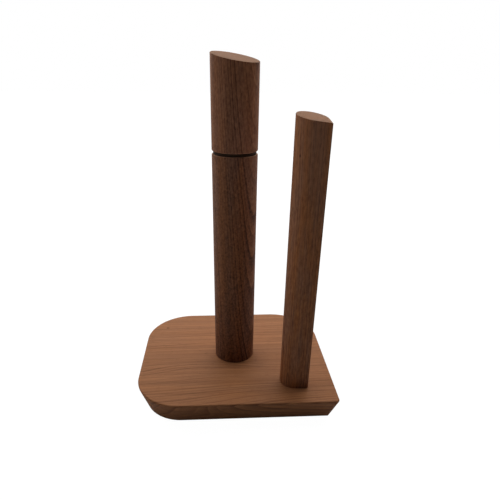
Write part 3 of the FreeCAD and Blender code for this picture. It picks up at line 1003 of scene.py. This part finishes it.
class TOWELHOLDER_OT_fixings(bpy.types.Operator):
    """Makes the screws, washers, inserts and dowels that hold the post and the arm to the board"""
    bl_idname = "towel_holder.fixings"
    bl_label = "Fixings"

    def execute(self, context):
        for owner, (radius, pitch, flats) in SCREWS.items():
            screw = screw_mesh(owner + "_screw", radius, pitch, flats)
            place(owner + "_screw", screw, HOLDER, steel())
            insert = insert_mesh(owner + "_insert", radius + FIT, pitch, 2.5 * MM)
            place(owner + "_insert", insert, HOLDER, brass())
            washer = sleeve_mesh(owner + "_washer", radius + 0.4 * MM, 0.2 * MM)
            place(owner + "_washer", washer, HOLDER, steel())
            place(owner + "_dowel", dowel_mesh(owner + "_dowel"), HOLDER, beech())
        return {"FINISHED"}


class TOWELHOLDER_OT_feet(bpy.types.Operator):
    """Makes the four rubber feet"""
    bl_idname = "towel_holder.feet"
    bl_label = "Feet"

    def execute(self, context):
        for foot in FEET:
            place(foot, foot_mesh(foot), HOLDER, rubber())
        return {"FINISHED"}


# ---- The stage ----

FLOOR_REACH = 6.0
FLOOR_FADE = {"From Min": 0.15, "From Max": 0.45, "To Min": 0.985, "To Max": 1.02}
SHADE = 0.08    # how much of the light and the shadow on the floor shows


def seen_apart(tree, output, given, shown):
    """Gives the camera the shader that is shown, and every other ray the one that is given."""
    path = tree.nodes.new("ShaderNodeLightPath")
    mix = tree.nodes.new("ShaderNodeMixShader")
    tree.links.new(path.outputs["Is Camera Ray"], mix.inputs[0])
    tree.links.new(given.outputs[0], mix.inputs[1])
    tree.links.new(shown.outputs[0], mix.inputs[2])
    tree.links.new(mix.outputs[0], tree.nodes[output].inputs["Surface"])


def floor_finish(tone):
    """A pale floor that shows white with the holder's faint shadow, and gives back a set share of the light.

    The white is its own light, which grows a little with the distance from the holder, where the panels
    don't reach.
    """
    g = Graph("pale_floor")
    g.tree.nodes.remove(g.surface)
    far = g.node("VectorMath", {0: g.node("TexCoord").outputs["Object"]}, operation="LENGTH")
    fade = g.node("MapRange", {"Value": far.outputs["Value"], **FLOOR_FADE})
    white = g.node("Emission", {"Strength": fade.outputs[0]})
    lit = g.node("BsdfDiffuse", {"Color": (SHADE, SHADE, SHADE, 1.0)})
    shown = g.node("AddShader", {0: white.outputs[0], 1: lit.outputs[0]})
    given = g.node("BsdfDiffuse", {"Color": (*tone, 1.0)})
    seen_apart(g.tree, "Material Output", given, shown)
    return g.material


def panel(name, centre, aim, width, height, radiance):
    """A soft light of an even radiance that faces a point and isn't seen itself."""
    lamp = bpy.data.lights.new(name, "AREA")
    lamp.shape = "RECTANGLE"
    lamp.size = width
    lamp.size_y = height
    lamp.energy = radiance * math.pi * width * height
    made = bpy.data.objects.new(name, lamp)
    made.location = centre
    made.rotation_euler = (Vector(aim) - Vector(centre)).to_track_quat("-Z", "Y").to_euler()
    made.visible_camera = False
    bpy.context.scene.collection.objects.link(made)


# name, centre in metres, width in metres, radiance
PANELS = (
    ("behind", (0.0, 1.1, 0.7), 1.8, 3.7),
    ("left", (-1.1, 0.0, 0.4), 0.8, 0.45),
    ("left_behind", (-0.8, 0.8, 0.5), 0.8, 1.2),
    ("left_high", (-0.8, 0.35, 1.1), 0.8, 1.95),
    ("right_behind", (0.8, 0.8, 0.5), 0.8, 1.1),
    ("right_high", (0.8, 0.35, 1.1), 0.8, 1.85),
    ("front_high", (0.0, -0.7, 1.2), 0.8, 0.44),
)
PANEL_HEIGHT = 0.8


def lay_floor(tone):
    """The floor: one wide level face."""
    mesh = bpy.data.meshes.new("floor")
    far = FLOOR_REACH
    mesh.from_pydata([(-far, -far, 0), (far, -far, 0), (far, far, 0), (-far, far, 0)], [], [(0, 1, 2, 3)])
    mesh.materials.append(floor_finish(tone))
    floor = bpy.data.objects.new("floor", mesh)
    bpy.context.scene.collection.objects.link(floor)


def studio_world():
    """A background that shows white and lights nothing."""
    world = bpy.data.worlds.new("studio")
    world.use_nodes = True
    dim = world.node_tree.nodes["Background"]
    dim.inputs["Strength"].default_value = 0.0
    bright = world.node_tree.nodes.new("ShaderNodeBackground")
    bright.inputs["Color"].default_value = (1.0, 1.0, 1.0, 1.0)
    seen_apart(world.node_tree, "World Output", dim, bright)
    return world


def set_camera(stage):
    """The camera, from the stage's settings."""
    lens = bpy.data.cameras.new("camera")
    lens.sensor_width = 36.0
    lens.lens = stage.focal_length
    lens.shift_x = stage.shift_x
    lens.shift_y = stage.shift_y
    lens.clip_start = 0.01
    lens.clip_end = 50.0
    camera = bpy.data.objects.new("camera", lens)
    camera.location = stage.eye
    level = Euler((math.pi / 2 - stage.look_down, 0.0, -stage.look_right)).to_matrix()
    camera.rotation_euler = (level @ Matrix.Rotation(stage.lean, 3, "Z")).to_euler()
    bpy.context.scene.collection.objects.link(camera)
    bpy.context.scene.camera = camera


class TOWELHOLDER_OT_stage(bpy.types.Operator):
    """Makes the pale floor, the soft light and the camera"""
    bl_idname = "towel_holder.stage"
    bl_label = "Stage"

    def execute(self, context):
        stage = context.scene.towel_holder_stage
        lay_floor(stage.floor_tone)
        low, high = CAD_BOX
        aim = (0.0, 0.0, (low.z + high.z) / 2)
        for name, centre, width, radiance in PANELS:
            panel("light_" + name, centre, aim, width, PANEL_HEIGHT, radiance * stage.brightness)
        context.scene.world = studio_world()
        context.scene.view_settings.view_transform = "Standard"
        set_camera(stage)
        return {"FINISHED"}


# ---- The add-on ----

SETTINGS = {
    "towel_holder_board": TowelHolderBoard,
    "towel_holder_sticks": TowelHolderSticks,
    "towel_holder_wood": TowelHolderWood,
    "towel_holder_fittings": TowelHolderFittings,
    "towel_holder_stage": TowelHolderStage,
}
STEPS = (
    TOWELHOLDER_OT_stage,
    TOWELHOLDER_OT_board,
    TOWELHOLDER_OT_post,
    TOWELHOLDER_OT_cap,
    TOWELHOLDER_OT_arm,
    TOWELHOLDER_OT_cap_fittings,
    TOWELHOLDER_OT_fixings,
    TOWELHOLDER_OT_feet,
)


class TOWELHOLDER_PT_sidebar(bpy.types.Panel):
    """Lists the steps that build the holder"""
    bl_idname = "TOWELHOLDER_PT_sidebar"
    bl_label = "Towel Holder"
    bl_space_type = "VIEW_3D"
    bl_region_type = "UI"
    bl_category = "Towel Holder"

    def draw(self, context):
        for step in STEPS:
            self.layout.operator(step.bl_idname)
        for name in SETTINGS:
            box = self.layout.box()
            settings = getattr(context.scene, name)
            for prop in settings.__annotations__:
                box.prop(settings, prop)


def register():
    """Adds the classes and the settings."""
    for group in (*SETTINGS.values(), *STEPS, TOWELHOLDER_PT_sidebar):
        bpy.utils.register_class(group)
    for name, group in SETTINGS.items():
        setattr(bpy.types.Scene, name, PointerProperty(type=group))


def unregister():
    """Takes the settings and the classes away again."""
    for name in SETTINGS:
        delattr(bpy.types.Scene, name)
    for group in (TOWELHOLDER_PT_sidebar, *reversed(STEPS), *reversed(SETTINGS.values())):
        bpy.utils.unregister_class(group)


def main():
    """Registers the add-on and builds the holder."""
    register()
    bpy.ops.towel_holder.stage()
    bpy.ops.towel_holder.board()
    bpy.ops.towel_holder.post()
    bpy.ops.towel_holder.cap()
    bpy.ops.towel_holder.arm()
    bpy.ops.towel_holder.cap_fittings()
    bpy.ops.towel_holder.fixings()
    bpy.ops.towel_holder.feet()


if __name__ == "__main__":
    main()
